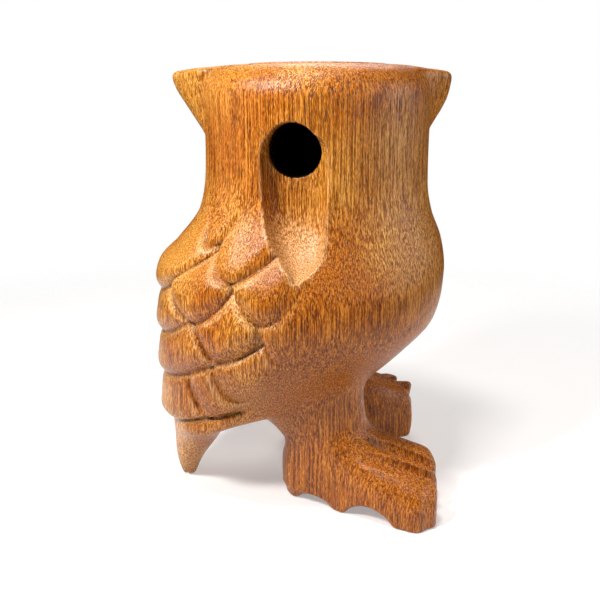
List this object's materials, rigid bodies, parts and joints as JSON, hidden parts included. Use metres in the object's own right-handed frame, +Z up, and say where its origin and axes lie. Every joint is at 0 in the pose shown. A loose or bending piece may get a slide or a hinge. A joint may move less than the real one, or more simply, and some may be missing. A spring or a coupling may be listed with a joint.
{
  "type": "carved wooden owl whistle",
  "caption": "Carved wooden owl with a bored sound chamber, blown across a hole in the back of its head to give a soft hoot.",
  "frame": {"origin": "on the ground under the middle of the whole figure", "axes": "+Z up; the face looks along +Y and the blow hole opens along -Y; the body and its feet point 20 degrees from +X towards the face"},
  "size_m": [0.0642, 0.066, 0.091],
  "materials": {
    "carved_wood": "oiled honey-brown hardwood, hand carved and sanded, satin",
    "plug_wood": "the same hardwood, end grain, oiled and sanded flush",
    "pale_wood": "pale close-grained wood, oiled",
    "dark_wood": "dark stained wood, polished"
  },
  "bodies": {
    "root": {"owl_body": "carved_wood", "chamber_plug": "plug_wood", "left_iris": "pale_wood", "right_iris": "pale_wood", "left_pupil": "dark_wood", "right_pupil": "dark_wood"}
  },
  "joints": []
}
